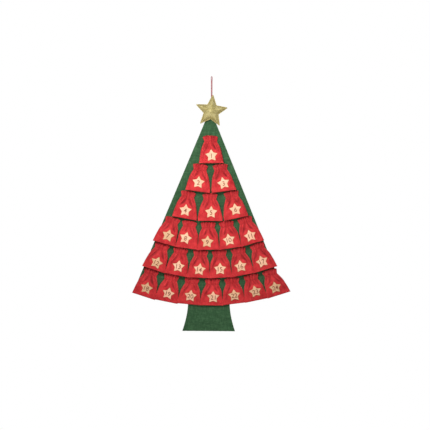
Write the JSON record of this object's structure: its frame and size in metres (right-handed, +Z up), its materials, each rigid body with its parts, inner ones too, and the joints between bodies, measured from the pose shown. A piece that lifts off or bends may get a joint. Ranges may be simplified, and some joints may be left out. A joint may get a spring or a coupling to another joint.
{
  "type": "advent calendar tree",
  "caption": "Flat felt Christmas tree that hangs on a cord loop, with a padded star on top and rows of small gathered cloth bags on its front, each with a numbered star.",
  "frame": {"origin": "where the hanging loop bears on its nail, 7 mm to the right of the felt's tip", "axes": "+Z up, +X to the right as seen from the front; the front with the bags faces -Y and the flat felt back faces +Y, towards the wall"},
  "size_m": [0.7904, 0.0377, 1.2749],
  "materials": {
    "green_felt": "matte wool-like felt",
    "red_fabric": "soft brushed cloth",
    "gold_fabric": "woven cloth with a metallic sheen",
    "cream_fabric": "stiff cloth with a slight sheen",
    "wadding": "loose polyester wadding",
    "red_cord": "twisted cord"
  },
  "bodies": {
    "tree": {"tree_panel": "green_felt", "star_front_cover": "gold_fabric", "star_back_cover": "gold_fabric", "star_filling": "wadding", "hanging_loop": "red_cord"},
    "bag_01": {"bag_01": "red_fabric", "number_star_01": "cream_fabric"},
    "bag_02": {"bag_02": "red_fabric", "number_star_02": "cream_fabric"},
    "bag_03": {"bag_03": "red_fabric", "number_star_03": "cream_fabric"},
    "bag_04": {"bag_04": "red_fabric", "number_star_04": "cream_fabric"},
    "bag_05": {"bag_05": "red_fabric", "number_star_05": "cream_fabric"},
    "bag_06": {"bag_06": "red_fabric", "number_star_06": "cream_fabric"},
    "bag_07": {"bag_07": "red_fabric", "number_star_07": "cream_fabric"},
    "bag_08": {"bag_08": "red_fabric", "number_star_08": "cream_fabric"},
    "bag_09": {"bag_09": "red_fabric", "number_star_09": "cream_fabric"},
    "bag_10": {"bag_10": "red_fabric", "number_star_10": "cream_fabric"},
    "bag_11": {"bag_11": "red_fabric", "number_star_11": "cream_fabric"},
    "bag_12": {"bag_12": "red_fabric", "number_star_12": "cream_fabric"},
    "bag_13": {"bag_13": "red_fabric", "number_star_13": "cream_fabric"},
    "bag_14": {"bag_14": "red_fabric", "number_star_14": "cream_fabric"},
    "bag_15": {"bag_15": "red_fabric", "number_star_15": "cream_fabric"},
    "bag_16": {"bag_16": "red_fabric", "number_star_16": "cream_fabric"},
    "bag_17": {"bag_17": "red_fabric", "number_star_17": "cream_fabric"},
    "bag_18": {"bag_18": "red_fabric", "number_star_18": "cream_fabric"},
    "bag_19": {"bag_19": "red_fabric", "number_star_19": "cream_fabric"},
    "bag_20": {"bag_20": "red_fabric", "number_star_20": "cream_fabric"},
    "bag_21": {"bag_21": "red_fabric", "number_star_21": "cream_fabric"},
    "bag_22": {"bag_22": "red_fabric", "number_star_22": "cream_fabric"},
    "bag_23": {"bag_23": "red_fabric", "number_star_23": "cream_fabric"},
    "bag_24": {"bag_24": "red_fabric", "number_star_24": "cream_fabric"}
  },
  "joints": [
    {"name": "bag_01_lift", "type": "hinge", "parent": "tree", "child": "bag_01", "pos_m": [-0.002, 0.0015, -0.292], "axis": [-1, 0, 0], "range_deg": [0, 90]},
    {"name": "bag_02_lift", "type": "hinge", "parent": "tree", "child": "bag_02", "pos_m": [-0.05218, 0.0015, -0.43387], "axis": [-0.9916, 0, 0.1295], "range_deg": [0, 45]},
    {"name": "bag_03_lift", "type": "hinge", "parent": "tree", "child": "bag_03", "pos_m": [0.04418, 0.0015, -0.43387], "axis": [-0.9916, 0, -0.1295], "range_deg": [0, 45]},
    {"name": "bag_04_lift", "type": "hinge", "parent": "tree", "child": "bag_04", "pos_m": [-0.10931, 0.0015, -0.56973], "axis": [-0.9801, 0, 0.1987], "range_deg": [0, 45]},
    {"name": "bag_05_lift", "type": "hinge", "parent": "tree", "child": "bag_05", "pos_m": [-0.007, 0.0015, -0.58], "axis": [-1, 0, 0], "range_deg": [0, 45]},
    {"name": "bag_06_lift", "type": "hinge", "parent": "tree", "child": "bag_06", "pos_m": [0.09531, 0.0015, -0.56973], "axis": [-0.9801, 0, -0.1987], "range_deg": [0, 45]},
    {"name": "bag_07_lift", "type": "hinge", "parent": "tree", "child": "bag_07", "pos_m": [-0.19596, 0.0015, -0.69895], "axis": [-0.962, 0, 0.2731], "range_deg": [0, 45]},
    {"name": "bag_08_lift", "type": "hinge", "parent": "tree", "child": "bag_08", "pos_m": [-0.10685, 0.0015, -0.71771], "axis": [-0.9905, 0, 0.1379], "range_deg": [0, 45]},
    {"name": "bag_09_lift", "type": "hinge", "parent": "tree", "child": "bag_09", "pos_m": [-0.016, 0.0015, -0.724], "axis": [-1, 0, 0], "range_deg": [0, 45]},
    {"name": "bag_10_lift", "type": "hinge", "parent": "tree", "child": "bag_10", "pos_m": [0.07485, 0.0015, -0.71771], "axis": [-0.9905, 0, -0.1379], "range_deg": [0, 45]},
    {"name": "bag_11_lift", "type": "hinge", "parent": "tree", "child": "bag_11", "pos_m": [0.16396, 0.0015, -0.69895], "axis": [-0.962, 0, -0.2731], "range_deg": [0, 45]},
    {"name": "bag_12_lift", "type": "hinge", "parent": "tree", "child": "bag_12", "pos_m": [-0.24682, 0.0015, -0.82914], "axis": [-0.9552, 0, 0.296], "range_deg": [0, 45]},
    {"name": "bag_13_lift", "type": "hinge", "parent": "tree", "child": "bag_13", "pos_m": [-0.15348, 0.0015, -0.85203], "axis": [-0.9838, 0, 0.1793], "range_deg": [0, 45]},
    {"name": "bag_14_lift", "type": "hinge", "parent": "tree", "child": "bag_14", "pos_m": [-0.05806, 0.0015, -0.86355], "axis": [-0.9982, 0, 0.0601], "range_deg": [0, 45]},
    {"name": "bag_15_lift", "type": "hinge", "parent": "tree", "child": "bag_15", "pos_m": [0.03806, 0.0015, -0.86355], "axis": [-0.9982, 0, -0.0601], "range_deg": [0, 45]},
    {"name": "bag_16_lift", "type": "hinge", "parent": "tree", "child": "bag_16", "pos_m": [0.13348, 0.0015, -0.85203], "axis": [-0.9838, 0, -0.1793], "range_deg": [0, 45]},
    {"name": "bag_17_lift", "type": "hinge", "parent": "tree", "child": "bag_17", "pos_m": [0.22682, 0.0015, -0.82914], "axis": [-0.9552, 0, -0.296], "range_deg": [0, 45]},
    {"name": "bag_18_lift", "type": "hinge", "parent": "tree", "child": "bag_18", "pos_m": [-0.29377, 0.0015, -0.9593], "axis": [-0.9504, 0, 0.3111], "range_deg": [0, 45]},
    {"name": "bag_19_lift", "type": "hinge", "parent": "tree", "child": "bag_19", "pos_m": [-0.198, 0.0015, -0.98515], "axis": [-0.9778, 0, 0.2094], "range_deg": [0, 45]},
    {"name": "bag_20_lift", "type": "hinge", "parent": "tree", "child": "bag_20", "pos_m": [-0.10005, 0.0015, -1.00077], "axis": [-0.9944, 0, 0.1053], "range_deg": [0, 45]},
    {"name": "bag_21_lift", "type": "hinge", "parent": "tree", "child": "bag_21", "pos_m": [-0.001, 0.0015, -1.006], "axis": [-1, 0, 0], "range_deg": [0, 45]},
    {"name": "bag_22_lift", "type": "hinge", "parent": "tree", "child": "bag_22", "pos_m": [0.09805, 0.0015, -1.00077], "axis": [-0.9944, 0, -0.1053], "range_deg": [0, 45]},
    {"name": "bag_23_lift", "type": "hinge", "parent": "tree", "child": "bag_23", "pos_m": [0.196, 0.0015, -0.98515], "axis": [-0.9778, 0, -0.2094], "range_deg": [0, 45]},
    {"name": "bag_24_lift", "type": "hinge", "parent": "tree", "child": "bag_24", "pos_m": [0.29177, 0.0015, -0.9593], "axis": [-0.9504, 0, -0.3111], "range_deg": [0, 45]}
  ]
}
